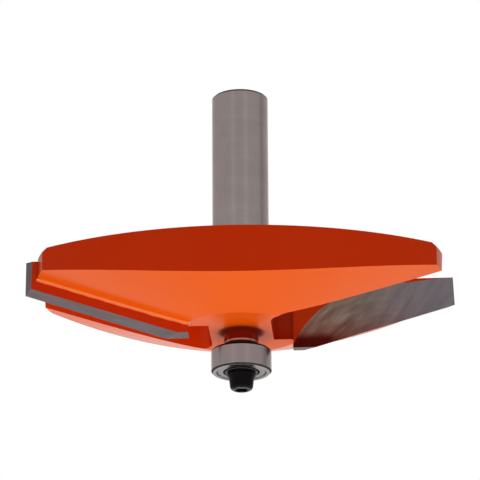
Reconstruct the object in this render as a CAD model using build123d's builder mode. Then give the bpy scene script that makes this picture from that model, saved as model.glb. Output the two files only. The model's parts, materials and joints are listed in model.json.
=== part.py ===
from build123d import *
from math import cos, radians, sin, sqrt, tan
import os

# Two-flute raised panel router bit with a guide bearing.
# Millimetres. The bit's axis is Z and the shank points up. The origin is on the axis where the
# ground shank starts, just above the fillet that joins it to the head. Blade 1 points to +X.

# Shank
shank_diameter = 12.0
shank_length = 38.6          # from the head's flat top to the free end
shank_chamfer = 0.4
shank_root_radius = 2.5      # fillet between the shank and the head

# Cutting circle and blades
cutting_radius = 45.4
cutting_height = 16.15
profile_angle = 17.8         # slope of the cut and of the head's underside
knee_radius = 16.1           # where the flat bottom cut turns into the slope
flat_cut = 5.4               # length of the flat bottom cut
blade_inner_height = 8.75    # height of a blade at its inner end
blade_thickness = 2.9
blade_top_drop = 0.5         # blade tops lie this far under the head's flat top
rake_offset = 3.85           # rake face behind the axis
shear_angle = 14.0           # lean of the rake faces about the radial line
flat_relief = 0.35           # fall of the flanks at the back of a blade
slope_relief = 0.8
outer_relief = 0.95
braze_gap = 0.05

# Head, a turned disc with a flat top and a conical underside
hub_clearance = 2.25         # hub face above the bottom cut
knee_clearance = 2.8         # the cone starts this far inside the knee
limiter_drop = 2.1           # chip limiters inside the cutting circle
rim_chamfer = 0.7
wall_radius = 71.5           # plan radius of the two curved side walls
wall_offset = 26.85          # nearest distance of a side wall from the axis
wall_skew = 2.0              # turn of the side walls against the blades, degrees

# Gullets in front of the blades
gullet_width = 15.7
gullet_web = 0.6             # gullets stop this far outside the shank
gullet_corner = 4.0
blade_proud = 0.6            # a blade stands this far out of the gullet floor

# Neck and spigot that carry the guide bearing
neck_diameter = 7.3
neck_length = 3.9
spigot_short = 0.25          # the spigot ends this far inside the bearing, so the washer clamps it
spigot_chamfer = 0.2
spigot_fit = 0.01            # radial clearance in the bearing's bore

# Guide bearing, an inch size: 3/16 bore, 1/2 outside
bearing_bore = 4.762
bearing_diameter = 12.7
bearing_width = 4.978
bearing_corner = 0.4
bearing_edge = 0.1
inner_ring_wall = 1.12
outer_ring_wall = 1.2
ball_diameter = 2.381
ball_count = 7
race_relief = 0.05           # raceway radius over ball radius
race_clearance = 0.02        # between each ball and each raceway
shield_sheet = 0.2
shield_gap = 0.375           # between a shield and the inner ring
shield_recess = 0.17
shield_joggle = 0.23         # step of the shield's rim into its groove
shield_seam = 0.4            # dark ring between a shield's flat and the outer ring
shield_grip = 0.31           # reach of the rim into the outer ring
mouth_depth = 0.15
shield_clearance = 0.02
cage_sheet = 0.2
cage_width = 1.03
pocket_clearance = 0.06
rivet_diameter = 0.4
rivet_stand = 0.15           # the rivets stand this far out of the cage
rivet_clearance = 0.01

# Washer and screw
washer_diameter = 6.0
washer_thickness = 0.8
washer_clearance = 0.1
washer_chamfer = 0.1
screw_diameter = 3.0
screw_length = 8.0           # under the head
screw_end_chamfer = 0.4
screw_head_diameter = 5.4
screw_head_height = 3.0
screw_head_taper = 7.0       # degrees
screw_head_round = 0.9
thread_clearance = 0.05
hexagon_width = 2.5          # across flats
hexagon_depth = 1.5
drill_clearance = 1.0        # the tapped hole is this much deeper than the screw
drill_point_angle = 118.0

# Radii and heights along the axis, worked out from the sizes above
shank_radius = shank_diameter / 2
slope = tan(radians(profile_angle))
hub_radius = knee_radius - knee_clearance
rim_radius = cutting_radius - limiter_drop
head_top = -shank_root_radius
shank_top = head_top + shank_length
cut_bottom = head_top - blade_top_drop - cutting_height
hub_face = cut_bottom + hub_clearance
rim_bottom = hub_face + slope * (rim_radius - hub_radius)
bearing_top = hub_face - neck_length
bearing_middle = bearing_top - bearing_width / 2
bearing_bottom = bearing_top - bearing_width
spigot_radius = bearing_bore / 2 - spigot_fit
spigot_end = bearing_bottom + spigot_short
washer_bottom = bearing_bottom - washer_thickness

blade_inner = knee_radius - flat_cut
shear = tan(radians(shear_angle))
sin_shear, cos_shear = sin(radians(shear_angle)), cos(radians(shear_angle))
blade_drop = blade_thickness * shear      # a blade's square edges, seen from its back plane
flutes = {"blade_1": 0, "blade_2": 180}
clear_of_head = 10                        # how far cutting shapes run past the metal


def circles(part, radius, height):
    """The circular edges of a turned part with this radius at this height."""
    return [
        edge
        for edge in part.edges().filter_by(GeomType.CIRCLE)
        if abs(edge.radius - radius) < 1e-4 and abs(edge.arc_center.Z - height) < 1e-4
    ]


def turned_plane(height):
    """Vertical plane through the axis for half sections, its Y up from this height."""
    return Plane(origin=(0, 0, height), x_dir=(1, 0, 0), z_dir=(0, -1, 0))


def leaning_plane(turn, distance):
    """Plane parallel to a rake face, this far behind the axis, its normal out of the face.

    Its X runs out along the flute's radial line and its Y up the face. Its origin is level with
    the bottom of the cut.
    """
    along = Vector(1, 0, 0).rotate(Axis.Z, turn)
    behind = Vector(0, 1, 0).rotate(Axis.Z, turn)
    normal = behind * -cos_shear + Vector(0, 0, sin_shear)
    origin = behind * (distance / cos_shear) + Vector(0, 0, cut_bottom)
    return Plane(origin=origin, x_dir=along, z_dir=normal)


def on_plane(radius, height, distance):
    """Where a leaning plane meets this radius at this height above the bottom of the cut."""
    behind = distance / cos_shear + height * shear
    return (sqrt(radius**2 - behind**2), height / cos_shear)


def blade_outline(distance, drop, flat_rise, slope_rise, radius):
    """Corners of a blade on one leaning plane: inner end, knee, tip and top edges."""
    knee = knee_radius - (slope_rise - flat_rise) / slope
    tip = slope * (radius - knee_radius) + slope_rise
    inner_top = blade_inner_height / cos_shear - drop
    top = cutting_height / cos_shear - drop
    bend = blade_inner + (top - inner_top) * cos_shear / slope
    return [
        (blade_inner, flat_rise / cos_shear),
        on_plane(knee, flat_rise, distance),
        on_plane(radius, tip, distance),
        (on_plane(radius, cutting_height, distance)[0], top),
        (bend, top),
        (blade_inner, inner_top),
    ]


# Cutter body: shank, head, neck and spigot in one piece
with BuildPart() as cutter_body:
    with BuildSketch(turned_plane(0)):
        with BuildLine():
            Polyline(
                (0, shank_top),
                (shank_radius, shank_top),
                (shank_radius, head_top),
                (rim_radius, head_top),
                (rim_radius, rim_bottom),
                (hub_radius, hub_face),
                (neck_diameter / 2, hub_face),
                (neck_diameter / 2, bearing_top),
                (spigot_radius, bearing_top),
                (spigot_radius, spigot_end),
                (0, spigot_end),
                close=True,
            )
        make_face()
    revolve(axis=Axis.Z)
    fillet(circles(cutter_body, shank_radius, head_top), shank_root_radius)
    chamfer(circles(cutter_body, shank_radius, shank_top), shank_chamfer)
    chamfer(circles(cutter_body, rim_radius, head_top), rim_chamfer)
    chamfer(circles(cutter_body, spigot_radius, spigot_end), spigot_chamfer)

    # The two curved side walls leave a lens in plan
    with BuildSketch(Plane.XY.offset(spigot_end)):
        with PolarLocations(wall_radius - wall_offset, 1, start_angle=90 + wall_skew):
            Circle(wall_radius)
        with PolarLocations(wall_radius - wall_offset, 1, start_angle=270 + wall_skew):
            Circle(wall_radius, mode=Mode.INTERSECT)
    extrude(amount=shank_top - spigot_end, mode=Mode.INTERSECT)

    for turn in flutes.values():
        # Gullet, milled right through the head along the rake face
        floor = leaning_plane(turn, rake_offset + blade_proud)
        with BuildSketch(Plane(origin=floor.origin, x_dir=floor.x_dir, z_dir=floor.y_dir)):
            with Locations((shank_radius + gullet_web, 0)):
                Rectangle(cutting_radius, gullet_width, align=(Align.MIN, Align.MAX))
            inner_corners = vertices().group_by(Axis.X)[0]
            fillet(inner_corners.sort_by(Axis.Y)[0], gullet_corner)
        extrude(amount=cutting_height + clear_of_head, both=True, mode=Mode.SUBTRACT)

        # Pocket for the blade, with a sloping shelf behind its upper edge
        pocket_end = blade_inner - braze_gap
        shelf = blade_inner_height / cos_shear - blade_drop + braze_gap
        rise = slope / cos_shear * (cutting_radius + clear_of_head - pocket_end)
        with BuildSketch(leaning_plane(turn, rake_offset + blade_thickness)):
            with BuildLine():
                Polyline(
                    (pocket_end, shelf),
                    (cutting_radius + clear_of_head, shelf + rise),
                    (cutting_radius + clear_of_head, -clear_of_head),
                    (pocket_end, -clear_of_head),
                    close=True,
                )
            make_face()
        extrude(amount=blade_thickness, mode=Mode.SUBTRACT)

    # Tapped hole for the screw, up through the neck
    hole_radius = screw_diameter / 2 + thread_clearance
    hole_end = washer_bottom + screw_length + drill_clearance
    drill_point = hole_radius / tan(radians(drill_point_angle / 2))
    with BuildSketch(turned_plane(0)):
        with BuildLine():
            Polyline(
                (0, spigot_end),
                (hole_radius, spigot_end),
                (hole_radius, hole_end),
                (0, hole_end + drill_point),
                close=True,
            )
        make_face()
    revolve(axis=Axis.Z, mode=Mode.SUBTRACT)
os.makedirs("parts", exist_ok=True)
cutter_body.part.label = "cutter_body"
export_step(cutter_body.part, "parts/cutter_body.step")

# Blades: carbide plates, ground with relief behind every cutting edge
blade_back = rake_offset + blade_thickness
for name, turn in flutes.items():
    with BuildPart() as blade:
        with BuildSketch(leaning_plane(turn, rake_offset)):
            Polygon(*blade_outline(rake_offset, 0, 0, 0, cutting_radius), align=None)
        with BuildSketch(leaning_plane(turn, blade_back)):
            back_radius = cutting_radius - outer_relief
            outline = blade_outline(blade_back, blade_drop, flat_relief, slope_relief, back_radius)
            Polygon(*outline, align=None)
        loft(ruled=True)
    blade.part.label = name
    export_step(blade.part, f"parts/{name}.step")

# Bearing rings, each a rectangular section with its raceway cut in
bearing_plane = turned_plane(bearing_middle)
half_width = bearing_width / 2
pitch_radius = (bearing_bore + bearing_diameter) / 4
ball_radius = ball_diameter / 2
race_radius = ball_radius + race_relief
race_shift = race_relief - race_clearance
inner_land = bearing_bore / 2 + inner_ring_wall
outer_land = bearing_diameter / 2 - outer_ring_wall

with BuildPart() as inner_ring:
    with BuildSketch(bearing_plane):
        with Locations((bearing_bore / 2, 0)):
            Rectangle(inner_ring_wall, bearing_width, align=(Align.MIN, Align.CENTER))
        chamfer(vertices(), bearing_edge)
        with Locations((pitch_radius + race_shift, 0)):
            Circle(race_radius, mode=Mode.SUBTRACT)
    revolve(axis=Axis.Z)
inner_ring.part.label = "bearing_inner_ring"
export_step(inner_ring.part, "parts/bearing_inner_ring.step")

# The outer ring's faces open to a mouth and a groove, where the shields snap in
mouth = outer_land + mouth_depth
shield_rim = outer_land + shield_grip
groove = shield_rim + shield_clearance
groove_height = shield_sheet + 2 * shield_clearance
groove_bottom = half_width - shield_recess - shield_joggle - shield_sheet - shield_clearance
with BuildPart() as outer_ring:
    with BuildSketch(bearing_plane):
        with Locations((bearing_diameter / 2, 0)):
            Rectangle(outer_ring_wall, bearing_width, align=(Align.MAX, Align.CENTER))
        chamfer(vertices().group_by(Axis.X)[-1], bearing_corner)
        with Locations((pitch_radius - race_shift, 0)):
            Circle(race_radius, mode=Mode.SUBTRACT)
        for side in (1, -1):
            with Locations((0, side * (half_width + groove_bottom) / 2)):
                Rectangle(2 * mouth, half_width - groove_bottom, mode=Mode.SUBTRACT)
            with Locations((0, side * (groove_bottom + groove_height / 2))):
                Rectangle(2 * groove, groove_height, mode=Mode.SUBTRACT)
    revolve(axis=Axis.Z)
outer_ring.part.label = "bearing_outer_ring"
export_step(outer_ring.part, "parts/bearing_outer_ring.step")

# Shields: pressed rings, the rim stepped down into the outer ring's groove
shield_bore = inner_land + shield_gap
for name, side in {"shield_upper": 1, "shield_lower": -1}.items():
    flat_top = half_width - shield_recess
    rim_top = flat_top - shield_joggle
    bend_outer = mouth - shield_clearance
    bend_inner = mouth - shield_seam
    lean = shield_sheet / 2
    with BuildPart() as shield:
        with BuildSketch(bearing_plane):
            with BuildLine():
                Polyline(
                    (shield_bore, side * flat_top),
                    (bend_inner, side * flat_top),
                    (bend_outer, side * rim_top),
                    (shield_rim, side * rim_top),
                    (shield_rim, side * (rim_top - shield_sheet)),
                    (bend_outer - lean, side * (rim_top - shield_sheet)),
                    (bend_inner - lean, side * (flat_top - shield_sheet)),
                    (shield_bore, side * (flat_top - shield_sheet)),
                    close=True,
                )
            make_face()
        revolve(axis=Axis.Z)
    shield.part.label = name
    export_step(shield.part, f"parts/{name}.step")

# Balls, evenly spaced round the pitch circle
ball_step = 360 / ball_count
for number in range(ball_count):
    centre = Vector(pitch_radius, 0, bearing_middle).rotate(Axis.Z, number * ball_step)
    with BuildPart(Plane(origin=centre, x_dir=(1, 0, 0), z_dir=(0, 0, 1))) as ball:
        Sphere(ball_radius)
    ball.part.label = f"ball_{number + 1}"
    export_step(ball.part, f"parts/ball_{number + 1}.step")

# Ribbon cage: two pressed halves, flat between the balls and bulging round each ball
pocket_radius = ball_radius + pocket_clearance
bulge_radius = pocket_radius + cage_sheet
for name, side in {"cage_upper": 1, "cage_lower": -1}.items():
    seam = Plane(origin=(0, 0, bearing_middle), x_dir=(1, 0, 0), z_dir=(0, 0, side))
    with BuildPart() as cage:
        with BuildSketch(seam) as ribbon:
            Circle(pitch_radius + cage_width / 2)
            Circle(pitch_radius - cage_width / 2, mode=Mode.SUBTRACT)
        extrude(amount=cage_sheet)
        with Locations(seam):
            with PolarLocations(pitch_radius, ball_count):
                Cylinder(bulge_radius, 2 * cage_width, rotation=(0, 90, 0))
        extrude(ribbon.sketch, amount=half_width, mode=Mode.INTERSECT)
        with Locations(seam):
            with PolarLocations(pitch_radius, ball_count):
                Cylinder(pocket_radius, 2 * cage_width, rotation=(0, 90, 0), mode=Mode.SUBTRACT)
            with PolarLocations(pitch_radius, ball_count, start_angle=ball_step / 2):
                Hole(rivet_diameter / 2 + rivet_clearance)
    cage.part.label = name
    export_step(cage.part, f"parts/{name}.step")

# Rivets through both cage halves, one between each pair of balls
for number in range(ball_count):
    middle = Vector(pitch_radius, 0, bearing_middle).rotate(Axis.Z, (number + 0.5) * ball_step)
    with BuildPart() as rivet:
        with BuildSketch(Plane(origin=middle, x_dir=(1, 0, 0), z_dir=(0, 0, 1))):
            Circle(rivet_diameter / 2)
        extrude(amount=cage_sheet + rivet_stand, both=True)
    rivet.part.label = f"cage_rivet_{number + 1}"
    export_step(rivet.part, f"parts/cage_rivet_{number + 1}.step")

# Washer that clamps the inner ring against the neck
with BuildPart() as washer:
    with BuildSketch(Plane.XY.offset(washer_bottom)):
        Circle(washer_diameter / 2)
        Circle(screw_diameter / 2 + washer_clearance, mode=Mode.SUBTRACT)
    extrude(amount=washer_thickness)
    chamfer(circles(washer, washer_diameter / 2, washer_bottom), washer_chamfer)
washer.part.label = "washer"
export_step(washer.part, "parts/washer.step")

# Socket head screw, its head slightly tapered and rounded at the end
head_end = washer_bottom - screw_head_height
end_radius = screw_head_diameter / 2 - screw_head_height * tan(radians(screw_head_taper))
with BuildPart() as screw:
    with BuildSketch(turned_plane(0)):
        with BuildLine():
            Polyline(
                (0, head_end),
                (end_radius, head_end),
                (screw_head_diameter / 2, washer_bottom),
                (screw_diameter / 2, washer_bottom),
                (screw_diameter / 2, washer_bottom + screw_length),
                (0, washer_bottom + screw_length),
                close=True,
            )
        make_face()
    revolve(axis=Axis.Z)
    fillet(circles(screw, end_radius, head_end), screw_head_round)
    chamfer(circles(screw, screw_diameter / 2, washer_bottom + screw_length), screw_end_chamfer)
    with BuildSketch(Plane.XY.offset(head_end)):
        RegularPolygon(hexagon_width / 2, 6, major_radius=False)
    extrude(amount=hexagon_depth, mode=Mode.SUBTRACT)
screw.part.label = "screw"
export_step(screw.part, "parts/screw.step")
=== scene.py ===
# %% [markdown]
# # A raised panel router bit
#
# The bit is a turned steel head with an orange coating, two carbide plates brazed into it, a
# ground steel shank and a small guide bearing under the head, held by a black screw.
# The solids come from CAD at their true size. This script gives them rounded edges, the fillets
# of braze, the ground window in the paint, and finishes that behave like the real ones.

# %% Load the solids
import json
import math

import bmesh
import bpy
from mathutils import Matrix, Vector

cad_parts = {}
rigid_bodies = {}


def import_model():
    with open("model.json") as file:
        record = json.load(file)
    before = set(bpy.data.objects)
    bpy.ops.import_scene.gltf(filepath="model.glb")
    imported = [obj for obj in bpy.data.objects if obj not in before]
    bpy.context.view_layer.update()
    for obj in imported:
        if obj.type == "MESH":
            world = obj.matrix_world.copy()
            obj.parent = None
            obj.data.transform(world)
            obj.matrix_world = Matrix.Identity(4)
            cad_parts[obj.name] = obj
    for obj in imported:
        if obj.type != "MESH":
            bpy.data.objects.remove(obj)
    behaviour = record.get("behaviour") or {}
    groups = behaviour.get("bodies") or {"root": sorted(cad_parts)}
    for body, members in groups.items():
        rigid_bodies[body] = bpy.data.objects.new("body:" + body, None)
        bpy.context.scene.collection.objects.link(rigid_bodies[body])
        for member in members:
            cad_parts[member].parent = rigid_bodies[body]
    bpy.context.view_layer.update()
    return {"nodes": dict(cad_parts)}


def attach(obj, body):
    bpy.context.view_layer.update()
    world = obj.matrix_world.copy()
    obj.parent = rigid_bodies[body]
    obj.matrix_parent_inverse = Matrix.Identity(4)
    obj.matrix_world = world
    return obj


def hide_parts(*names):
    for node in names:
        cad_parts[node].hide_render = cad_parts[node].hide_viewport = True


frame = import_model()
MM = 0.001


# %% [markdown]
# ## The photograph's camera
#
# The bit hangs upright and the camera looks up at it from a little below, from far away with a
# long lens, so that the underside of the head shows. A camera's place can be found from the
# picture alone, by trying places until the known sizes land on the right pixels. That was done
# here with the shank and the bearing, whose sizes are standard. The bit is turned about its
# axis by a few degrees, so the camera stands a little to the right of the head's own front.

# %% Camera
TURN = math.radians(3.4)      # how far the camera stands round to the right
TILT = math.radians(19.80)    # how far it looks up
ROLL = math.radians(0.332)    # lean of the picture
ASIDE = -0.149 * MM           # the camera's place: sideways from the axis,
AWAY = 738.06 * MM            # back from it on the level,
BELOW = 261.9 * MM            # and below the origin
FOCAL_LENGTH = 3698.86        # in pixels of the photograph
IMAGE_WIDTH = 480             # pixels
SENSOR_WIDTH = 36             # millimetres

right = Vector((math.cos(TURN), math.sin(TURN), 0))
level = Vector((-math.sin(TURN), math.cos(TURN), 0))
forward = level * math.cos(TILT) + Vector((0, 0, math.sin(TILT)))
upward = right.cross(forward)
camera_place = right * ASIDE - level * AWAY - Vector((0, 0, BELOW))

camera_data = bpy.data.cameras.new("camera")
camera_data.sensor_width = SENSOR_WIDTH
camera_data.lens = FOCAL_LENGTH / IMAGE_WIDTH * SENSOR_WIDTH
camera_data.clip_start = 0.01
camera_data.clip_end = 20
camera = bpy.data.objects.new("camera", camera_data)
bpy.context.collection.objects.link(camera)
rolled_right = right * math.cos(ROLL) - upward * math.sin(ROLL)
rolled_up = right * math.sin(ROLL) + upward * math.cos(ROLL)
turn = Matrix((rolled_right, rolled_up, -forward)).transposed()
camera.matrix_world = Matrix.Translation(camera_place) @ turn.to_4x4()
bpy.context.scene.camera = camera
print("camera at", tuple(round(value, 4) for value in camera_place))


# %% [markdown]
# ## One helper for colours, one for nodes
#
# Colours are chosen as sRGB hex values, the way a paint chart or a picture editor gives them.
# Blender's shaders work in linear light, so a single function converts them.
# Materials are node graphs. One small function adds a node and gives each input a value or a
# link, which keeps each recipe short enough to read. Patterns are sized in millimetres, so a
# last function turns the width of a spot into the scale that a noise texture asks for.

# %% Helpers for materials
def colour(hex_value):
    """Linear RGBA from an sRGB hex string."""
    parts = [int(hex_value[i:i + 2], 16) / 255 for i in (0, 2, 4)]
    linear = [p / 12.92 if p <= 0.04045 else ((p + 0.055) / 1.055) ** 2.4 for p in parts]
    return (*linear, 1.0)


def node(tree, kind, inputs=None, **settings):
    """Add a node. An input that is given another node's output is linked to it."""
    made = tree.nodes.new(kind)
    for name, value in settings.items():
        setattr(made, name, value)
    for name, value in (inputs or {}).items():
        if isinstance(value, bpy.types.NodeSocket):
            tree.links.new(value, made.inputs[name])
        else:
            made.inputs[name].default_value = value
    return made


def new_material(name):
    """A material with an empty graph, and the Object coordinates that its patterns follow."""
    material = bpy.data.materials.new(name)
    material.use_nodes = True
    tree = material.node_tree
    tree.nodes.clear()
    place = tree.nodes.new("ShaderNodeTexCoord").outputs["Object"]
    return material, tree, place


def finish_material(material, shader):
    """Join a shader to the material's surface."""
    tree = material.node_tree
    output = tree.nodes.new("ShaderNodeOutputMaterial")
    tree.links.new(shader.outputs[0], output.inputs["Surface"])
    return material


def spots(width):
    """The scale at which noise has spots of this width in millimetres."""
    return 1 / (width * MM)


print("orange in linear light:", [round(part, 3) for part in colour("DD5002")[:3]])


# %% [markdown]
# ## Studio
#
# The photograph is a catalogue picture: white all round, with soft light that comes mostly
# from below, which is why the underside of the head is the brightest part and its upright
# side is darker. Polished metal has hardly a colour of its own, so what it mirrors matters:
# a plain grey room in front with two brighter strips, a slightly darker screen on the right, and
# the pale backdrop behind. Cards could be stood round the bit for that, but they would cast
# shadows of their own, so it is all drawn in the world by the direction of each ray. The camera
# sees white everywhere.

# %% World
# Headings go round the bit in radians, from 0 on the camera's side to the right
STRIP_HEADING = 0.46
STRIP_HALF_WIDTH = 0.24
SCREEN_HEADING = 1.80
SCREEN_HALF_WIDTH = 0.36
BACKDROP_START = 2.40
BACKDROP_FULL = 2.95

scene = bpy.context.scene
scene.view_settings.view_transform = "Standard"

world = bpy.data.worlds.new("studio")
scene.world = world
world.use_nodes = True
sky = world.node_tree
sky.nodes.clear()
direction = sky.nodes.new("ShaderNodeTexCoord").outputs["Generated"]
along = node(sky, "ShaderNodeSeparateXYZ", {"Vector": direction})
towards_front = node(sky, "ShaderNodeMath", {0: along.outputs["Y"], 1: -1.0}, operation="MULTIPLY")
heading = node(sky, "ShaderNodeMath", {0: along.outputs["X"], 1: towards_front.outputs[0]},
               operation="ARCTAN2")
swing = node(sky, "ShaderNodeMath", {0: heading.outputs[0]}, operation="ABSOLUTE")


def sky_band(value, middle, half_width):
    """One inside a band of directions, falling softly to zero at its sides."""
    off = node(sky, "ShaderNodeMath", {0: value, 1: middle}, operation="SUBTRACT")
    size = node(sky, "ShaderNodeMath", {0: off.outputs[0]}, operation="ABSOLUTE")
    soft = node(sky, "ShaderNodeMapRange",
                {"Value": size.outputs[0], "From Min": half_width, "From Max": 0.0},
                interpolation_type="SMOOTHSTEP")
    return soft.outputs["Result"]


strips = sky_band(swing.outputs[0], STRIP_HEADING, STRIP_HALF_WIDTH)
screen = sky_band(heading.outputs[0], SCREEN_HEADING, SCREEN_HALF_WIDTH)
backdrop = node(sky, "ShaderNodeMapRange",
                {"Value": swing.outputs[0], "From Min": BACKDROP_START, "From Max": BACKDROP_FULL},
                interpolation_type="SMOOTHSTEP").outputs["Result"]
room = colour("B0A6A5")
for amount, tone in ((strips, "BDB3B1"), (screen, "958C8A"), (backdrop, "ECE9E7")):
    room = node(sky, "ShaderNodeMix", {"Factor": amount, "A": room, "B": colour(tone)},
                data_type="RGBA").outputs["Result"]

ray = sky.nodes.new("ShaderNodeLightPath")
seen = node(sky, "ShaderNodeMath",
            {0: ray.outputs["Is Camera Ray"], 1: ray.outputs["Is Transmission Ray"]},
            operation="MAXIMUM")
lighting = node(sky, "ShaderNodeMix",
                {"Factor": ray.outputs["Is Glossy Ray"], "A": colour("908987"), "B": room},
                data_type="RGBA")
shown = node(sky, "ShaderNodeMix",
             {"Factor": seen.outputs[0], "A": lighting.outputs["Result"], "B": colour("FFFFFF")},
             data_type="RGBA")
glow = node(sky, "ShaderNodeBackground", {"Color": shown.outputs["Result"], "Strength": 1.0})
node(sky, "ShaderNodeOutputWorld", {"Surface": glow.outputs[0]})
print("world nodes:", len(sky.nodes))


# %% [markdown]
# Two large soft lamps do the rest. The first lies under the bit and lights its underside. The
# second stands behind and above, so that the top of the head is lit too but its front isn't.

# %% Lamps
def soft_lamp(name, place, width, height, watts, tint):
    """A rectangular lamp aimed at the origin, seen neither by the camera nor in the metal."""
    data = bpy.data.lights.new(name, "AREA")
    data.shape = "RECTANGLE"
    data.size = width
    data.size_y = height
    data.energy = watts
    data.color = colour(tint)[:3]
    lamp = bpy.data.objects.new(name, data)
    bpy.context.collection.objects.link(lamp)
    facing = (-Vector(place)).to_track_quat("-Z", "Y").to_matrix().to_4x4()
    lamp.matrix_world = Matrix.Translation(place) @ facing
    lamp.visible_camera = False
    lamp.visible_glossy = False


soft_lamp("lamp_under", (0.0, -0.10, -0.30), width=0.50, height=0.30, watts=0.93, tint="FFFDFB")
soft_lamp("lamp_over", (0.10, 0.30, 0.70), width=0.60, height=0.60, watts=6.0, tint="FFFFFF")
print("lamps:", len(bpy.data.lights))


# %% [markdown]
# The floor is a long way down, under the camera. It is matt white paint that the camera sees
# lifted to full white, apart from the bit's soft shadow, and it is open from below, so that
# it hides nothing when the bit is seen from underneath.

# %% Floor
FLOOR_SIZE = 6
FLOOR_HEIGHT = -0.34
CAMERA_LIFT = 0.74            # glow added where the camera sees the floor
MIRROR_LIFT = 0.15            # and where metal mirrors it

bpy.ops.mesh.primitive_plane_add(size=FLOOR_SIZE, location=(0, 0, FLOOR_HEIGHT))
floor = bpy.context.object
floor.name = "floor"
floor_paint, tree, _ = new_material("matt_white_paint")
matt = node(tree, "ShaderNodeBsdfDiffuse", {"Color": colour("F0F0F0"), "Roughness": 0.5})
ray = tree.nodes.new("ShaderNodeLightPath")
clear = node(tree, "ShaderNodeMath",
             {0: ray.outputs["Is Camera Ray"], 1: ray.outputs["Is Transmission Ray"]},
             operation="MAXIMUM")
mirrored = node(tree, "ShaderNodeMath", {0: ray.outputs["Is Glossy Ray"], 1: MIRROR_LIFT},
                operation="MULTIPLY")
lift = node(tree, "ShaderNodeMath", {0: clear.outputs[0], 1: CAMERA_LIFT, 2: mirrored.outputs[0]},
            operation="MULTIPLY_ADD")
white = node(tree, "ShaderNodeEmission", {"Color": colour("FFFFFF"), "Strength": lift.outputs[0]})
paint = node(tree, "ShaderNodeAddShader", {0: matt.outputs[0], 1: white.outputs[0]})
open_below = node(tree, "ShaderNodeBsdfTransparent")
facing = tree.nodes.new("ShaderNodeNewGeometry").outputs["Backfacing"]
shader = node(tree, "ShaderNodeMixShader",
              {0: facing, 1: paint.outputs[0], 2: open_below.outputs[0]})
floor.data.materials.append(finish_material(floor_paint, shader))
print("floor at", FLOOR_HEIGHT)


# %% [markdown]
# ## Orange non-stick coating
#
# The head is coated to keep resin from sticking. It is a smooth, glossy film with the very
# fine ripple of sprayed and baked paint. The ripple is drawn with noise about a millimetre
# wide. The rounded edges are painted a touch paler, as a painted highlight. Upright walls are
# painted a deeper red as painted shade, the gullets and the neck deepest of all. Each face
# carries both as numbers, called painted_highlight and painted_shade_depth. A slow cloud of
# noise keeps large faces from one flat tone.

# %% Colour of the film
FILM_IOR = 1.38
FILM_MIRROR_TINT = "FFEE8C"   # the pigment tints what the film mirrors a little


def film_with_painted_light(tree, cloud):
    """Colour of the film, deepened to red by painted shade and paled on edges by painted highlight."""
    shade = node(tree, "ShaderNodeMix",
                 {"Factor": cloud, "A": colour("DD5002"), "B": colour("E65803")},
                 data_type="RGBA").outputs["Result"]
    depth = node(tree, "ShaderNodeAttribute", attribute_name="painted_shade_depth").outputs["Fac"]
    deeper = node(tree, "ShaderNodeMath", {0: depth, 1: 1.0}, operation="SUBTRACT").outputs[0]
    edge = node(tree, "ShaderNodeAttribute", attribute_name="painted_highlight").outputs["Fac"]
    edge_highlight = node(tree, "ShaderNodeMath", {0: edge, 1: 0.35}, operation="MULTIPLY").outputs[0]
    # Painted shade turns the film red and deeper red, painted highlight makes it paler on edges
    for amount, tone in ((depth, "E23101"), (deeper, "960F01"), (edge_highlight, "F47E4A")):
        shade = node(tree, "ShaderNodeMix", {"Factor": amount, "A": shade, "B": colour(tone)},
                     data_type="RGBA").outputs["Result"]
    return shade


def axis_place(tree, place):
    """A point's distance from the bit's axis and its height, as two outputs."""
    parts = node(tree, "ShaderNodeSeparateXYZ", {"Vector": place})
    flat = node(tree, "ShaderNodeCombineXYZ", {"X": parts.outputs["X"], "Y": parts.outputs["Y"]})
    radius = node(tree, "ShaderNodeVectorMath", {0: flat.outputs[0]}, operation="LENGTH")
    return radius.outputs["Value"], parts.outputs["Z"]


print("the film's index of refraction:", FILM_IOR)


# %% [markdown]
# The neck under the head has two marks of its own. The corner where it leaves the head is
# painted dark and dull, as painted shade. Its lower end is ground bare after coating, to seat
# the bearing, and the gap above the bearing is painted dark, as painted shade. Their borders
# are soft, so they are not faces of their own but masks, made from a point's distance from the
# axis and its height.

# %% Coating
CORNER_SHADE_OUTER = 5.5 * MM         # the painted shade fades in between these radii
CORNER_SHADE_INNER = 3.9 * MM
CORNER_SHADE_LOW = -18.0 * MM         # and between these heights
CORNER_SHADE_HIGH = -17.3 * MM
NECK_REACH = 4.0 * MM         # nearer to the axis than this, a point is on the neck
BARE_TOP = -19.16 * MM        # the ground end of the neck starts between these heights
BARE_BOTTOM = -19.22 * MM
GAP_SHADE_TOP = -19.50 * MM       # and the painted shade in the gap between these
GAP_SHADE_BOTTOM = -19.60 * MM


def neck_corner_shade(tree, radius, height):
    """How much painted shade lies in the corner round the neck, from 0 to 1."""
    ring = node(tree, "ShaderNodeMapRange",
                {"Value": radius, "From Min": CORNER_SHADE_OUTER, "From Max": CORNER_SHADE_INNER},
                interpolation_type="SMOOTHSTEP")
    upper = node(tree, "ShaderNodeMapRange",
                 {"Value": height, "From Min": CORNER_SHADE_LOW, "From Max": CORNER_SHADE_HIGH})
    both = node(tree, "ShaderNodeMath", {0: ring.outputs[0], 1: upper.outputs[0]}, operation="MULTIPLY")
    return both.outputs[0]


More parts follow.
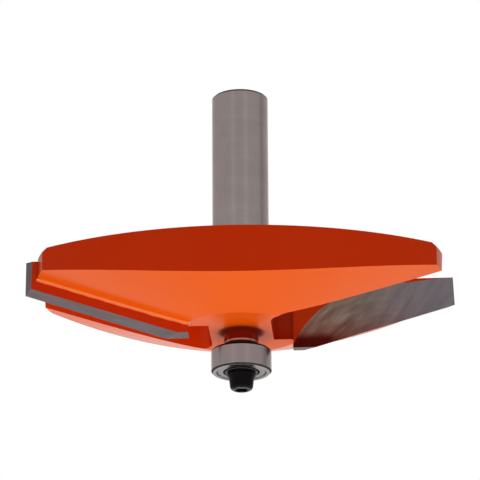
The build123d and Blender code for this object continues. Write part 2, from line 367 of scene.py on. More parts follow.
def neck_end(tree, radius, height):
    """The ground end of the neck: where it is bare, and its steel with painted shade in the gap."""
    near_axis = node(tree, "ShaderNodeMath", {0: radius, 1: NECK_REACH}, operation="LESS_THAN")
    low = node(tree, "ShaderNodeMapRange",
               {"Value": height, "From Min": BARE_TOP, "From Max": BARE_BOTTOM})
    bare = node(tree, "ShaderNodeMath", {0: near_axis.outputs[0], 1: low.outputs[0]}, operation="MULTIPLY")
    gap_shade = node(tree, "ShaderNodeMapRange",
                 {"Value": height, "From Min": GAP_SHADE_TOP, "From Max": GAP_SHADE_BOTTOM})
    # Painted shade: the steel turns dark in the gap above the bearing
    seat = node(tree, "ShaderNodeMix",
                {"Factor": gap_shade.outputs[0], "A": colour("CFC9C7"), "B": colour("3A2E2C")},
                data_type="RGBA")
    steel = node(tree, "ShaderNodeBsdfPrincipled",
                 {"Base Color": seat.outputs["Result"], "Metallic": 1.0, "Roughness": 0.3})
    return bare.outputs[0], steel.outputs[0]


def coating_material():
    """Sprayed and baked non-stick coating: a deep glossy orange with a fine ripple."""
    material, tree, place = new_material("orange_nonstick_coating")
    cloud = node(tree, "ShaderNodeTexNoise", {"Vector": place, "Scale": spots(14), "Detail": 3.0})
    ripple = node(tree, "ShaderNodeTexNoise", {"Vector": place, "Scale": spots(1.1), "Detail": 2.0})
    radius, height = axis_place(tree, place)
    corner_shade = neck_corner_shade(tree, radius, height)
    # Painted shade: the corner round the neck turns dark red
    shade = node(tree, "ShaderNodeMix",
                 {"Factor": corner_shade, "A": film_with_painted_light(tree, cloud.outputs["Fac"]), "B": colour("700D03")},
                 data_type="RGBA")
    gloss = node(tree, "ShaderNodeMapRange",
                 {"Value": cloud.outputs["Fac"], "To Min": 0.18, "To Max": 0.26})
    dull = node(tree, "ShaderNodeMix", {"Factor": corner_shade, "A": gloss.outputs[0], "B": 0.8})
    bump = node(tree, "ShaderNodeBump",
                {"Height": ripple.outputs["Fac"], "Strength": 0.25, "Distance": 0.006 * MM})
    film = node(tree, "ShaderNodeBsdfPrincipled", {
        "Base Color": shade.outputs["Result"],
        "Roughness": dull.outputs[0],
        "Normal": bump.outputs["Normal"],
        "IOR": FILM_IOR,
        "Specular Tint": colour(FILM_MIRROR_TINT),
    })
    bare, steel = neck_end(tree, radius, height)
    both = node(tree, "ShaderNodeMixShader", {0: bare, 1: film.outputs[0], 2: steel})
    return finish_material(material, both)


coating = coating_material()
print("coating:", len(coating.node_tree.nodes), "nodes")


# %% [markdown]
# ## Ground steel
#
# The shank, and the bearing's rings, are ground round and round between centres. That leaves
# lines too fine to see one by one, which show as faint bands of tone and a slightly uneven
# mirror. Noise that is squeezed along the axis and stretched around it draws them. A wheel
# leaves no two turns alike, so a second, coarser noise varies how strongly the lines show.
# Hands and a film of oil leave faint cloudy patches a few millimetres wide on top of that.
# The turned corners are painted dark and made dull, as a painted dark reflection.

# %% Ground steel
NO_CORNER = -100.0            # a height far below the bit


def painted_dark_corners(tree, place, corners, tone, gloss):
    """Tone and gloss that turn dark and dull on the turned corners, as a painted dark reflection.

    corners gives the radius and the two heights, in millimetres, outside which a corner lies,
    and the tone of the upper one.
    """
    radius_limit, low, high, upper_tone = corners
    radius, height = axis_place(tree, place)
    outside = node(tree, "ShaderNodeMath", {0: radius, 1: radius_limit * MM}, operation="GREATER_THAN")
    above = node(tree, "ShaderNodeMath", {0: height, 1: high * MM}, operation="GREATER_THAN")
    below = node(tree, "ShaderNodeMath", {0: height, 1: low * MM}, operation="LESS_THAN")
    either = node(tree, "ShaderNodeMath", {0: above.outputs[0], 1: below.outputs[0]}, operation="ADD")
    corner = node(tree, "ShaderNodeMath", {0: either.outputs[0], 1: outside.outputs[0]},
                  operation="MULTIPLY")
    # Painted dark reflection on the corners: a dark tone in place of the ground steel
    scale = node(tree, "ShaderNodeMix",
                 {"Factor": above.outputs[0], "A": colour("4A4443"), "B": colour(upper_tone)},
                 data_type="RGBA")
    tone = node(tree, "ShaderNodeMix",
                {"Factor": corner.outputs[0], "A": tone, "B": scale.outputs["Result"]},
                data_type="RGBA")
    gloss = node(tree, "ShaderNodeMix", {"Factor": corner.outputs[0], "A": gloss, "B": 0.5})
    return tone.outputs["Result"], gloss.outputs[0]


def ground_steel(name, tone, bright, rough, line, corners=None):
    """Steel ground around the Z axis, with lines of this width in millimetres."""
    material, tree, place = new_material(name)
    squeeze = node(tree, "ShaderNodeMapping",
                   {"Vector": place, "Scale": (spots(50), spots(50), spots(line))})
    lines = node(tree, "ShaderNodeTexNoise",
                 {"Vector": squeeze.outputs[0], "Scale": 1.0, "Detail": 2.0})
    slow = node(tree, "ShaderNodeMapping", {"Vector": place, "Scale": (30.0, 30.0, spots(2.5))})
    bands = node(tree, "ShaderNodeTexNoise", {"Vector": slow.outputs[0], "Scale": 1.0, "Detail": 3.0})
    patches = node(tree, "ShaderNodeTexNoise", {"Vector": place, "Scale": spots(4.5), "Detail": 3.0})
    mixed = node(tree, "ShaderNodeMix",
                 {"Factor": 0.45, "A": lines.outputs["Fac"], "B": bands.outputs["Fac"]})
    mixed = node(tree, "ShaderNodeMix",
                 {"Factor": 0.35, "A": mixed.outputs[0], "B": patches.outputs["Fac"]})
    shade = node(tree, "ShaderNodeMix",
                 {"Factor": mixed.outputs[0], "A": colour(tone), "B": colour(bright)},
                 data_type="RGBA").outputs["Result"]
    gloss = node(tree, "ShaderNodeMapRange",
                 {"Value": mixed.outputs[0], "To Min": rough + 0.06, "To Max": rough - 0.06}).outputs[0]
    bump = node(tree, "ShaderNodeBump",
                {"Height": lines.outputs["Fac"], "Strength": 0.2, "Distance": 0.002 * MM})
    if corners:
        shade, gloss = painted_dark_corners(tree, place, corners, shade, gloss)
    shader = node(tree, "ShaderNodeBsdfPrincipled", {
        "Base Color": shade,
        "Metallic": 1.0,
        "Roughness": gloss,
        "Normal": bump.outputs["Normal"],
    })
    return finish_material(material, shader)


# Bright tool steel: a clean mirror with faint rings gives the shank its precise look, and the
# turned chamfer at its end is painted darker, as a painted dark reflection
shank_steel = ground_steel("ground_tool_steel", "A8A4A3", "DAD8D7", 0.22, line=0.25,
                           corners=(5.63, NO_CORNER, 35.60, "4A4443"))
# Bearing steel is ground finer, so its mirror is a little clearer, between corners with a painted dark
# reflection
bearing_steel = ground_steel("ground_bearing_steel", "BAB6B7", "C8C5C6", 0.20, line=0.07,
                             corners=(5.97, -25.40, -21.32, "120E0D"))
# The narrow inner ring beside the screw is a darker steel, so the screw stands in a dark circle
dark_inner_ring_steel = ground_steel("dark_bearing_steel", "4A4645", "625D5C", 0.32, line=0.07)
print("steels:", shank_steel.name, bearing_steel.name, dark_inner_ring_steel.name)


# %% [markdown]
# ## Tungsten carbide
#
# Carbide is a grey, heavy ceramic metal, darker than steel and ground with diamond. On the
# flanks, under the cutting edges, the wheel leaves a tight grain along the blade. The same
# noise, drawn out along a slanting line, gives the grain here and the streaks of the rake face.

# %% Carbide flanks
def wheel_streaks(tree, place, angle, width, length):
    """Noise drawn out along slanting lines in a blade's own upright plane."""
    turned = node(tree, "ShaderNodeMapping",
                  {"Vector": place, "Rotation": (0, math.radians(angle), 0)})
    drawn = node(tree, "ShaderNodeMapping",
                 {"Vector": turned.outputs[0], "Scale": (spots(width), 60.0, spots(length))})
    return node(tree, "ShaderNodeTexNoise", {"Vector": drawn.outputs[0], "Scale": 1.0, "Detail": 3.0})


def carbide_material():
    """Diamond ground carbide, for the flanks: a cool dark grey with a tight satin grain."""
    material, tree, place = new_material("ground_carbide")
    grain = wheel_streaks(tree, place, angle=75, width=0.25, length=4.0)
    shade = node(tree, "ShaderNodeMix",
                 {"Factor": grain.outputs["Fac"], "A": colour("70666A"), "B": colour("8E8486")},
                 data_type="RGBA")
    gloss = node(tree, "ShaderNodeMapRange",
                 {"Value": grain.outputs["Fac"], "To Min": 0.40, "To Max": 0.30})
    bump = node(tree, "ShaderNodeBump",
                {"Height": grain.outputs["Fac"], "Strength": 0.3, "Distance": 0.004 * MM})
    shader = node(tree, "ShaderNodeBsdfPrincipled", {
        "Base Color": shade.outputs["Result"],
        "Metallic": 1.0,
        "Roughness": gloss.outputs["Result"],
        "Normal": bump.outputs["Normal"],
    })
    return finish_material(material, shader)


carbide = carbide_material()
print("carbide:", len(carbide.node_tree.nodes), "nodes")


# %% [markdown]
# ## The window in the paint
#
# On the rake face a cup wheel swept through the paint in an arc, so the inner end of the blade
# keeps its coating outside that arc, and past the wheel's centre a nearly level line is the
# window's upper edge. Cutting the face along the arc would do it, but the border is soft and
# slightly uneven, so it is drawn as a mask. Both blades share it: a point's distance out from
# the axis is the same on both sides.

# %% Ground window
WHEEL_OUT = 32.2 * MM         # centre of the wheel's sweep: out from the axis,
WHEEL_HEIGHT = -26.8 * MM     # and its height
WHEEL_REACH = 23.0 * MM       # radius of the sweep
ARC_SOFTNESS = 0.05 * MM
ARC_UNEVEN = 0.12 * MM
LINE_SLOPE = 0.12             # rise of the window's upper line, going out
LINE_HEIGHT = -8.2 * MM       # its height at the axis
LINE_SOFTNESS = 0.15 * MM


def ground_window(tree, place, out, height, from_wheel):
    """Where the wheel cut through the paint: 1 inside its arc and under the line further out."""
    ragged = node(tree, "ShaderNodeTexNoise", {"Vector": place, "Scale": spots(0.7), "Detail": 3.0})
    uneven = node(tree, "ShaderNodeMapRange",
                  {"Value": ragged.outputs["Fac"], "To Min": -ARC_UNEVEN, "To Max": ARC_UNEVEN})
    reach = node(tree, "ShaderNodeMath", {0: from_wheel, 1: uneven.outputs[0]}, operation="ADD")
    inside = node(tree, "ShaderNodeMapRange",
                  {"Value": reach.outputs[0], "From Min": WHEEL_REACH + ARC_SOFTNESS,
                   "From Max": WHEEL_REACH - ARC_SOFTNESS})
    beyond = node(tree, "ShaderNodeMath", {0: out, 1: WHEEL_OUT}, operation="GREATER_THAN")
    line = node(tree, "ShaderNodeMath", {0: out, 1: LINE_SLOPE, 2: LINE_HEIGHT},
                operation="MULTIPLY_ADD")
    above = node(tree, "ShaderNodeMath", {0: height, 1: line.outputs[0]}, operation="SUBTRACT")
    under = node(tree, "ShaderNodeMapRange",
                 {"Value": above.outputs[0], "From Min": LINE_SOFTNESS, "From Max": -LINE_SOFTNESS})
    outer = node(tree, "ShaderNodeMath", {0: beyond.outputs[0], 1: under.outputs[0]}, operation="MULTIPLY")
    bare = node(tree, "ShaderNodeMath", {0: inside.outputs[0], 1: outer.outputs[0]}, operation="MAXIMUM")
    return bare.outputs[0]


print("window's arc:", round(WHEEL_REACH / MM, 1), "mm radius")


# %% [markdown]
# ## Rake face
#
# Inside the window the wheel's path gives the carbide soft slanting streaks, which bend into
# arcs near the inner end. Heat from brazing left a brownish tint there that fades towards the
# tip, and the face turns darker and redder towards the lower inner corner.

# %% Rake face
HEAT_OUTER = 41 * MM          # the heat's tint fades in between these, out from the axis
HEAT_INNER = 16 * MM
REDDENED_TOP = -15.2 * MM        # the darker red fades in between these heights
REDDENED_BOTTOM = -17.3 * MM
REDDENED_OUTER = 23.0 * MM       # and between these, out from the axis
REDDENED_INNER = 17.5 * MM


def wheel_arcs(tree, reach, bearing, width, sweep):
    """Noise drawn out along arcs about a wheel's centre: width in millimetres, sweep in radians."""
    ring = node(tree, "ShaderNodeMath", {0: reach, 1: spots(width)}, operation="MULTIPLY")
    way = node(tree, "ShaderNodeMath", {0: bearing, 1: 1 / sweep}, operation="MULTIPLY")
    spot = node(tree, "ShaderNodeCombineXYZ", {"X": ring.outputs[0], "Y": way.outputs[0]})
    return node(tree, "ShaderNodeTexNoise", {"Vector": spot.outputs[0], "Scale": 1.0, "Detail": 3.0})


def rake_tone(tree, out, height, streaks, heat):
    """Tone of the bare rake face: cool at the tip, brown from heat and dark in the corner."""
    # The face turns darker and redder towards the lower inner corner
    low = node(tree, "ShaderNodeMapRange",
               {"Value": height, "From Min": REDDENED_TOP, "From Max": REDDENED_BOTTOM},
               interpolation_type="SMOOTHSTEP")
    inner = node(tree, "ShaderNodeMapRange",
                 {"Value": out, "From Min": REDDENED_OUTER, "From Max": REDDENED_INNER},
                 interpolation_type="SMOOTHSTEP")
    reddened = node(tree, "ShaderNodeMath", {0: low.outputs[0], 1: inner.outputs[0]}, operation="MULTIPLY")
    cool = node(tree, "ShaderNodeMix",
                {"Factor": streaks, "A": colour("92919A"), "B": colour("A4A3A9")},
                data_type="RGBA")
    warm = node(tree, "ShaderNodeMix",
                {"Factor": streaks, "A": colour("857162"), "B": colour("BEB09C")},
                data_type="RGBA")
    tone = node(tree, "ShaderNodeMix",
                {"Factor": heat, "A": cool.outputs["Result"], "B": warm.outputs["Result"]},
                data_type="RGBA")
    tone = node(tree, "ShaderNodeMix",
                {"Factor": reddened.outputs[0], "A": tone.outputs["Result"], "B": colour("6C3024")},
                data_type="RGBA")
    return tone.outputs["Result"]


print("heat tint from", round(HEAT_OUTER / MM), "mm inwards")


# %% [markdown]
# The whole rake face is one material: bare carbide inside the window and the coating outside it.

# %% Rake face material
def rake_material():
    """The rake face: satin grey carbide inside the wheel's window, glossy coating outside it."""
    material, tree, place = new_material("ground_carbide_rake_face")
    parts = node(tree, "ShaderNodeSeparateXYZ", {"Vector": place})
    height = parts.outputs["Z"]
    out = node(tree, "ShaderNodeMath", {0: parts.outputs["X"]}, operation="ABSOLUTE").outputs[0]
    folded = node(tree, "ShaderNodeCombineXYZ", {"X": out, "Z": height})
    across = node(tree, "ShaderNodeVectorMath",
                  {0: folded.outputs[0], 1: (WHEEL_OUT, 0.0, WHEEL_HEIGHT)}, operation="SUBTRACT")
    from_wheel = node(tree, "ShaderNodeVectorMath", {0: across.outputs[0]},
                      operation="LENGTH").outputs["Value"]
    arm = node(tree, "ShaderNodeSeparateXYZ", {"Vector": across.outputs[0]})
    bearing = node(tree, "ShaderNodeMath", {0: arm.outputs["Z"], 1: arm.outputs["X"]},
                   operation="ARCTAN2")

    arcs = wheel_arcs(tree, from_wheel, bearing.outputs[0], width=1.1, sweep=0.35)
    broad = wheel_streaks(tree, folded.outputs[0], angle=-32, width=1.8, length=8.0)
    fine = wheel_streaks(tree, folded.outputs[0], angle=-32, width=0.22, length=5.0)
    heat = node(tree, "ShaderNodeMapRange",
                {"Value": out, "From Min": HEAT_OUTER, "From Max": HEAT_INNER},
                interpolation_type="SMOOTHSTEP").outputs[0]
    swept = node(tree, "ShaderNodeMix",
                 {"Factor": heat, "A": broad.outputs["Fac"], "B": arcs.outputs["Fac"]})
    blend = node(tree, "ShaderNodeMix",
                 {"Factor": 0.25, "A": swept.outputs[0], "B": fine.outputs["Fac"]})
    streaks = node(tree, "ShaderNodeMapRange",
                   {"Value": blend.outputs[0], "From Min": 0.34, "From Max": 0.66}).outputs[0]
    gloss = node(tree, "ShaderNodeMapRange", {"Value": streaks, "To Min": 0.42, "To Max": 0.26})
    bump = node(tree, "ShaderNodeBump",
                {"Height": fine.outputs["Fac"], "Strength": 0.3, "Distance": 0.004 * MM})
    metal = node(tree, "ShaderNodeBsdfPrincipled", {
        "Base Color": rake_tone(tree, out, height, streaks, heat),
        "Metallic": 1.0,
        "Roughness": gloss.outputs["Result"],
        "Normal": bump.outputs["Normal"],
    })
    paint = node(tree, "ShaderNodeBsdfPrincipled", {
        "Base Color": colour("D43602"),
        "Roughness": 0.20,
        "IOR": FILM_IOR,
        "Specular Tint": colour(FILM_MIRROR_TINT),
    })
    bare = ground_window(tree, place, out, height, from_wheel)
    both = node(tree, "ShaderNodeMixShader", {0: bare, 1: paint.outputs[0], 2: metal.outputs[0]})
    return finish_material(material, both)


rake = rake_material()
print("rake face:", len(rake.node_tree.nodes), "nodes")


# %% [markdown]
# ## Pressed steel
#
# The bearing's shields are punched from thin bright sheet. Sheet is rolled, not ground, so it
# mirrors softly and shows a faint mottle, which fine noise gives it.

# %% Sheet steel
def sheet_steel_material():
    """Rolled and pressed bright sheet, for the shields, cage and rivets."""
    material, tree, place = new_material("pressed_sheet_steel")
    mottle = node(tree, "ShaderNodeTexNoise", {"Vector": place, "Scale": spots(0.5), "Detail": 4.0})
    shade = node(tree, "ShaderNodeMix",
                 {"Factor": mottle.outputs["Fac"], "A": colour("A8A4A6"), "B": colour("BCB9BB")},
                 data_type="RGBA")
    gloss = node(tree, "ShaderNodeMapRange",
                 {"Value": mottle.outputs["Fac"], "To Min": 0.34, "To Max": 0.24})
    bump = node(tree, "ShaderNodeBump",
                {"Height": mottle.outputs["Fac"], "Strength": 0.25, "Distance": 0.004 * MM})
    shader = node(tree, "ShaderNodeBsdfPrincipled", {
        "Base Color": shade.outputs["Result"],
        "Metallic": 1.0,
        "Roughness": gloss.outputs["Result"],
        "Normal": bump.outputs["Normal"],
    })
    return finish_material(material, shader)


sheet_steel = sheet_steel_material()
print("sheet steel:", len(sheet_steel.node_tree.nodes), "nodes")


# %% [markdown]
# ## Black oxide
#
# The screw and its washer are blackened in hot salts, which leaves a thin, nearly black skin
# with a low sheen that is rubbed brighter in places. It is no paint, so where the key rubbed it
# through, the same shader turns back into metal by a mask. These grey patches at the screw's
# end are partly wear and partly a painted highlight.

# %% Black oxide
WORN_AND_HIGHLIGHT_FROM = -29.38 * MM       # the screw's end is grey between these heights: wear and painted highlight
WORN_AND_HIGHLIGHT_FULL = -29.50 * MM


def black_oxide_material():
    """Black oxide on a steel screw: almost black, low sheen, a little rubbed, with a painted highlight at
    its end.
    """
    material, tree, place = new_material("black_oxide_steel")
    rubbed = node(tree, "ShaderNodeTexNoise", {"Vector": place, "Scale": spots(0.8), "Detail": 4.0})
    grit = node(tree, "ShaderNodeTexNoise", {"Vector": place, "Scale": spots(0.12), "Detail": 2.0})
    shade = node(tree, "ShaderNodeMix",
                 {"Factor": rubbed.outputs["Fac"], "A": colour("060606"), "B": colour("0E0E0E")},
                 data_type="RGBA")
    gloss = node(tree, "ShaderNodeMapRange",
                 {"Value": rubbed.outputs["Fac"], "To Min": 0.36, "To Max": 0.24})
    bump = node(tree, "ShaderNodeBump",
                {"Height": grit.outputs["Fac"], "Strength": 0.25, "Distance": 0.004 * MM})

    # The key rubs patches of the screw's end back to grey steel, which also serve as a painted highlight
    parts = node(tree, "ShaderNodeSeparateXYZ", {"Vector": place})
    end = node(tree, "ShaderNodeMapRange",
               {"Value": parts.outputs["Z"], "From Min": WORN_AND_HIGHLIGHT_FROM, "From Max": WORN_AND_HIGHLIGHT_FULL})
    patches = node(tree, "ShaderNodeMapRange",
                   {"Value": rubbed.outputs["Fac"], "From Min": 0.40, "From Max": 0.58})
    worn_and_highlight = node(tree, "ShaderNodeMath", {0: end.outputs[0], 1: patches.outputs[0]},
                operation="MULTIPLY").outputs[0]
    shade = node(tree, "ShaderNodeMix",
                 {"Factor": worn_and_highlight, "A": shade.outputs["Result"], "B": colour("76726F")},
                 data_type="RGBA")
    shader = node(tree, "ShaderNodeBsdfPrincipled", {
        "Base Color": shade.outputs["Result"],
        "Metallic": worn_and_highlight,
        "Specular IOR Level": 0.12,
        "Roughness": gloss.outputs["Result"],
        "Normal": bump.outputs["Normal"],
    })
    return finish_material(material, shader)


black_oxide = black_oxide_material()
print("black oxide:", len(black_oxide.node_tree.nodes), "nodes")


# %% [markdown]
# ## Small parts straight from CAD
#
# The bearing, washer and screw already have their chamfers in the solid, so they only take
# their finishes.

# %% Finishes on the small parts
finishes = {
    "bearing_outer_ring": bearing_steel,
    "bearing_inner_ring": dark_inner_ring_steel,
    "shield_upper": sheet_steel,
    "shield_lower": sheet_steel,
    "cage_upper": sheet_steel,
    "cage_lower": sheet_steel,
    "washer": black_oxide,
    "screw": black_oxide,
}
BALL_COUNT = 7
for number in range(1, BALL_COUNT + 1):
    finishes[f"ball_{number}"] = bearing_steel
    finishes[f"cage_rivet_{number}"] = sheet_steel
for name, material in finishes.items():
    mesh = frame["nodes"][name].data
    mesh.materials.clear()
    mesh.materials.append(material)
print("finished:", len(finishes), "solids")


# %% [markdown]
# ## Helpers for new pieces
#
# A solid from CAD arrives as separate triangles. Merging their corners and dissolving the flat
# seams gives clean faces again, which can then be bevelled and told apart by their direction.

# %% Helpers for shapes
def merged_copy(name):
    """A CAD solid as a bmesh, with its triangles joined into clean faces."""
    shape = bmesh.new()
    shape.from_mesh(frame["nodes"][name].data)
    bmesh.ops.remove_doubles(shape, verts=shape.verts[:], dist=0.02 * MM)
    bmesh.ops.dissolve_limit(shape, angle_limit=math.radians(0.5), verts=shape.verts[:],
                             edges=shape.edges[:])
    return shape


def shade_by_angle(shape, limit, rounded=()):
    """Smooth faces, with every edge that turns more than the limit in degrees kept crisp.

    Edges of the rounded faces are parts of a bevel, so they stay smooth.
    """
    for face in shape.faces:
        face.smooth = True
    for edge in shape.edges:
        edge.smooth = edge.calc_face_angle(math.pi) < math.radians(limit)
    for face in rounded:
        for edge in face.edges:
            edge.smooth = True

    # A crisp edge that runs into a bevel goes on one step across it, or it would smear
    ends = [vert for vert in shape.verts if any(not edge.smooth for edge in vert.link_edges)]
    for vert in ends:
        for edge in vert.link_edges:
            if all(face in rounded for face in edge.link_faces):
                edge.smooth = False


def set_painted_light(shape, name, painted_amount_of):
    """Store an amount of painted highlight or painted shade on every face, worked out by a function of the
    face.
    """
    layer = shape.loops.layers.float.new(name)
    for face in shape.faces:
        depth = painted_amount_of(face)
        for loop in face.loops:
            loop[layer] = depth


def make_piece(shape, name, materials):
    """Turn a bmesh into an object with these materials."""
    mesh = bpy.data.meshes.new(name)
    shape.to_mesh(mesh)
    shape.free()
    for material in materials:
        mesh.materials.append(material)
    piece = bpy.data.objects.new(name, mesh)
    bpy.context.collection.objects.link(piece)
    return piece


print("cutter body from CAD:", len(frame["nodes"]["cutter_body"].data.polygons), "triangles")


# %% [markdown]
# ## Where a point of the head lies
#
# The script has to tell the faces and edges of the head apart. They could be picked by number,
# but numbers change with every new version of the solid. So the places are worked out from the
# sizes of the bit: the depth of a point behind the axis, measured square to a rake face, tells
# whether it lies in a blade's pocket, and its distance from the middle of a side wall's curve
# tells whether it lies on that wall.

# %% Places on the head
CUT_BOTTOM = -19.15 * MM      # height of the flat bottom cut
HUB_FACE = -16.9 * MM         # height of the flat face round the neck
SHEAR = math.radians(14)      # lean of the rake faces
RAKE_DEPTH = 3.85 * MM        # the rake face lies this far behind the axis
BLADE_BACK = 6.75 * MM        # and the blade's back this far
BLADE_END = 10.70 * MM        # inner end of the blades, out from the axis
NECK_RADIUS = 3.65 * MM
BARE_RADIUS = 2.5 * MM        # spigot and tapped hole lie inside this
WALL_RADIUS = 71.5 * MM       # curve of the two side walls
WALL_OFFSET = 26.85 * MM      # their nearest distance from the axis
WALL_WAY = math.radians(92)   # the way that one of them faces
RIM = 42.9 * MM               # the head's rim lies outside this


def depth_behind(point, side):
    """How far a point lies behind the axis, square to the rake face of one flute."""
    return point.y * side * math.cos(SHEAR) - (point.z - CUT_BOTTOM) * math.sin(SHEAR)


def in_pocket(point):
    """Whether a point lies on the walls of a blade's pocket."""
    side = 1 if point.x > 0 else -1
    slack = 0.15 * MM
    inside = RAKE_DEPTH - slack < depth_behind(point, side) < BLADE_BACK + slack
    return inside and abs(point.x) > BLADE_END - 0.2 * MM


def is_bare(point):
    """Whether a point lies on the shank, the spigot or the tapped hole."""
    return point.z > -0.02 * MM or math.hypot(point.x, point.y) < BARE_RADIUS


def on_side_wall(point):
    """Whether a point lies on one of the two curved side walls."""
    for way in (WALL_WAY, WALL_WAY + math.pi):
        middle = Vector((math.cos(way), math.sin(way))) * (WALL_RADIUS - WALL_OFFSET)
        if abs((point.xy - middle).length - WALL_RADIUS) < 0.35 * MM:
            return True
    return False


def at_neck_root(point):
    """Whether a point lies in the corner where the neck leaves the head."""
    near = BARE_RADIUS < math.hypot(point.x, point.y) < NECK_RADIUS + 0.55 * MM
    return near and abs(point.z - HUB_FACE) < 0.05 * MM


print("pocket from", round(RAKE_DEPTH / MM, 2), "to", round(BLADE_BACK / MM, 2), "mm behind the axis")


# %% [markdown]
# ## Cutter body with rounded, coated edges
#
# Paint can't hold a knife edge, so every outer edge of the head gets a small radius, and the
# corner where the neck leaves the head a larger hollow one. Edges of the blade pockets stay
# sharp, because the blades and the braze cover them. A Bevel modifier would round all edges
# alike, so the edges are chosen here and rounded with the bevel operator. Then each face is
# given its amounts of painted highlight and painted shade, and the shank and the spigot take
# bare steel.

# %% Cutter body
ROOT_RADIUS = 0.65 * MM       # the hollow round the neck
EDGE_RADIUS = 0.28 * MM
NECK_ZONE = 4.5 * MM          # faces nearer to the axis than this belong to the neck
NECK_SHADE = 2.0               # painted shade round the neck,
GULLET_SHADE = 1.7             # in a gullet,
FACING_SHADE = 1.1             # on the gullet's wall that faces the blade,
RIM_SHADE = 0.6                # and on the head's rim

body = merged_copy("cutter_body")
rounded = []
root = []
for edge in body.edges:
    ends = [vert.co for vert in edge.verts]
    if edge.calc_face_angle(0) < math.radians(25):
        continue
    if all(in_pocket(end) for end in ends) or all(is_bare(end) for end in ends):
        continue
    if all(at_neck_root(end) for end in ends):
        root.append(edge)
    else:
        rounded.append(edge)
soft_faces = set()
for edges, radius in ((root, ROOT_RADIUS), (rounded, EDGE_RADIUS)):
    bevelled = bmesh.ops.bevel(body, geom=edges, offset=radius, offset_type="OFFSET", segments=3,
                               profile=0.5, affect="EDGES", clamp_overlap=True, material=-1,
                               face_strength_mode="ALL")
    soft_faces.update(bevelled["faces"])
soft_faces = {face for face in soft_faces if face.is_valid}


def edge_painted_highlight(face):
    """Painted highlight: one on the rounded outer edges, none in the neck's corner."""
    centre = face.calc_center_median()
    return 1.0 if face in soft_faces and centre.xy.length > NECK_ZONE else 0.0


def head_painted_shade(face):
    """Painted shade on a face of the head: 0 if it lies flat, 1 on upright side walls."""
    centre = face.calc_center_median()
    if centre.xy.length < NECK_ZONE and centre.z < HUB_FACE - 0.02 * MM:
        return NECK_SHADE
    upright = min(1.0, max(0.0, (0.8 - abs(face.normal.z)) / 0.5))
    if on_side_wall(centre):
        return upright
    if centre.xy.length > RIM:
        return RIM_SHADE * upright
    side = 1 if centre.x > 0 else -1
    return upright * (FACING_SHADE if face.normal.y * side > 0.5 else GULLET_SHADE)


# Painted highlight on the rounded edges, painted shade on upright walls, in the gullets and round the neck
set_painted_light(body, "painted_highlight", edge_painted_highlight)
set_painted_light(body, "painted_shade_depth", head_painted_shade)
for face in body.faces:
    face.material_index = 1 if all(is_bare(vert.co) for vert in face.verts) else 0
shade_by_angle(body, 16.5, soft_faces)
print("cutter body:", len(root), "and", len(rounded), "edges rounded,", len(body.faces), "faces")
cutter_body = make_piece(body, "coated_cutter_body", [coating, shank_steel])
weights = cutter_body.modifiers.new("flat faces stay flat", "WEIGHTED_NORMAL")
weights.keep_sharp = True
weights.use_face_influence = True
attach(cutter_body, "tool")
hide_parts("cutter_body")


# %% [markdown]
# ## Blades
#
# The bit is coated after brazing and ground after that. So a blade's back, top and inner end
# keep the coating, and the faces that the wheel touched are bare: the rake face, the flanks
# under the cutting edges and the outer end. Each face is told by the way it points.

# %% Blades
for name, side in (("blade_1", 1), ("blade_2", -1)):
    plate = merged_copy(name)
    for face in plate.faces:
        out, back, up = face.normal.x * side, face.normal.y * side, face.normal.z
        if back < -0.9:
            face.material_index = 1
        elif up < -0.8 or out > 0.8:
            face.material_index = 2
        else:
            face.material_index = 0
    # The blade's coated back takes more painted shade than its other coated faces
    set_painted_light(plate, "painted_shade_depth", lambda face: 1.5 if abs(face.normal.y) > 0.9 else 0.5)
    shade_by_angle(plate, 12)
    print(name, "faces:", len(plate.faces))
    blade = make_piece(plate, f"ground_{name}", [coating, rake, carbide])
    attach(blade, "tool")
    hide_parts(name)


# %% [markdown]
# ## Braze
#
# Silver braze runs out along the seam between a blade and the head and sets in a small hollow
# fillet, which the coating then covers. It follows the blade's back down the cone and turns
# round its inner end. Where the seam runs can be worked out from the sizes of the bit.

# %% The seam between blade and head
HUB_RADIUS = 13.3 * MM        # where the flat hub face turns into the cone
SLOPE = math.tan(math.radians(17.8))
SEAM_FRONT = 4.7 * MM         # the braze starts this far behind the axis
SEAM_OUT = 42.2 * MM          # and ends this far out
END_STEPS = 6
TURN_STEPS = 6
BACK_STEPS = 48


def head_height(radius):
    """Height of the head's underside at a radius."""
    return HUB_FACE + SLOPE * max(0.0, radius - HUB_RADIUS)


def seam_point(out, depth):
    """The point of the seam this far out, on the head's underside."""
    height = HUB_FACE

    # The way back and the height depend on each other, so they are worked out in turn
    for _ in range(12):
        back = (depth + (height - CUT_BOTTOM) * math.sin(SHEAR)) / math.cos(SHEAR)
        height = head_height(math.hypot(out, back))
    return Vector((out, back, height))


def head_normal(point):
    """Which way the head's underside faces at a point of the seam."""
    flat = Vector((point.x, point.y, 0))
    if flat.length < HUB_RADIUS:
        return Vector((0, 0, -1))
    return (flat.normalized() * SLOPE + Vector((0, 0, -1))).normalized()


def braze_stations():
    """Points of the seam, each with the way in which the blade's face points there."""
    back_normal = Vector((0, math.cos(SHEAR), -math.sin(SHEAR)))
    end_normal = Vector((-1, 0, 0))
    stations = []
    for step in range(END_STEPS + 1):
        depth = SEAM_FRONT + (BLADE_BACK - SEAM_FRONT) * step / END_STEPS
        stations.append((seam_point(BLADE_END, depth), end_normal))
    for step in range(1, TURN_STEPS):
        turned = end_normal.lerp(back_normal, step / TURN_STEPS).normalized()
        stations.append((seam_point(BLADE_END, BLADE_BACK), turned))
    for step in range(BACK_STEPS + 1):
        out = BLADE_END + (SEAM_OUT - BLADE_END) * step / BACK_STEPS
        stations.append((seam_point(out, BLADE_BACK), back_normal))
    return stations


stations = braze_stations()
print("stations along the seam:", len(stations))


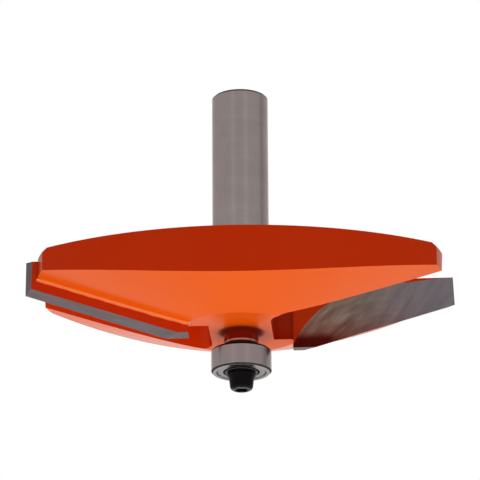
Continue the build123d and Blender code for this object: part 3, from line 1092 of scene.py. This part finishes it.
# %% [markdown]
# The fillet is swept along that seam: at each station one leg lies on the head and the other
# on the blade, with a hollow arc between them. A curve with a bevel would keep one section all
# the way, but here the section has to turn with the two surfaces.

# %% Braze fillets
LEG = 0.46 * MM               # legs of the fillet
LEG_VARIES = 0.07 * MM        # by which they grow and shrink along the seam
ROOT_SINK = 0.12 * MM         # the fillet's root lies this far inside the metal
LEG_SINK = 0.05 * MM          # and the outer ends of its legs this far
ARC_STEPS = 6


def braze_section(point, blade_normal, size):
    """Corners of the fillet at one station, legs of this size and a hollow arc between."""
    surface = head_normal(point)
    along = blade_normal.cross(surface).normalized()
    on_head = surface.cross(along).normalized()
    if on_head.dot(blade_normal) < 0:
        on_head = -on_head
    on_blade = along.cross(blade_normal).normalized()
    if on_blade.dot(surface) < 0:
        on_blade = -on_blade
    corners = [point - (on_head + on_blade) * ROOT_SINK, point + on_head * size - surface * LEG_SINK]
    for step in range(ARC_STEPS + 1):
        t = step / ARC_STEPS
        corners.append(point + on_head * size * (1 - t) ** 2 + on_blade * size * t ** 2)
    corners.append(point + on_blade * size - blade_normal * LEG_SINK)
    return corners


for name, side in (("braze_1", 1), ("braze_2", -1)):
    fillet = bmesh.new()
    loops = []
    for number, (point, blade_normal) in enumerate(stations):
        size = LEG + LEG_VARIES * math.sin(number * 0.9) * math.sin(number * 0.37 + side)
        ring = []
        for corner in braze_section(point, blade_normal, size):
            ring.append(fillet.verts.new((corner.x * side, corner.y * side, corner.z)))
        loops.append([fillet.edges.new(pair) for pair in zip(ring, ring[1:] + ring[:1])])
    for first, second in zip(loops, loops[1:]):
        bmesh.ops.bridge_loops(fillet, edges=first + second)
    bmesh.ops.holes_fill(fillet, edges=loops[0] + loops[-1])
    bmesh.ops.remove_doubles(fillet, verts=fillet.verts[:], dist=0.001 * MM)
    bmesh.ops.recalc_face_normals(fillet, faces=fillet.faces[:])
    # The whole fillet is painted paler, as a painted highlight along the seam
    set_painted_light(fillet, "painted_highlight", lambda face: 2.3)
    shade_by_angle(fillet, 50)
    print(name, "faces:", len(fillet.faces))
    braze = make_piece(fillet, name, [coating])
    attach(braze, "tool")
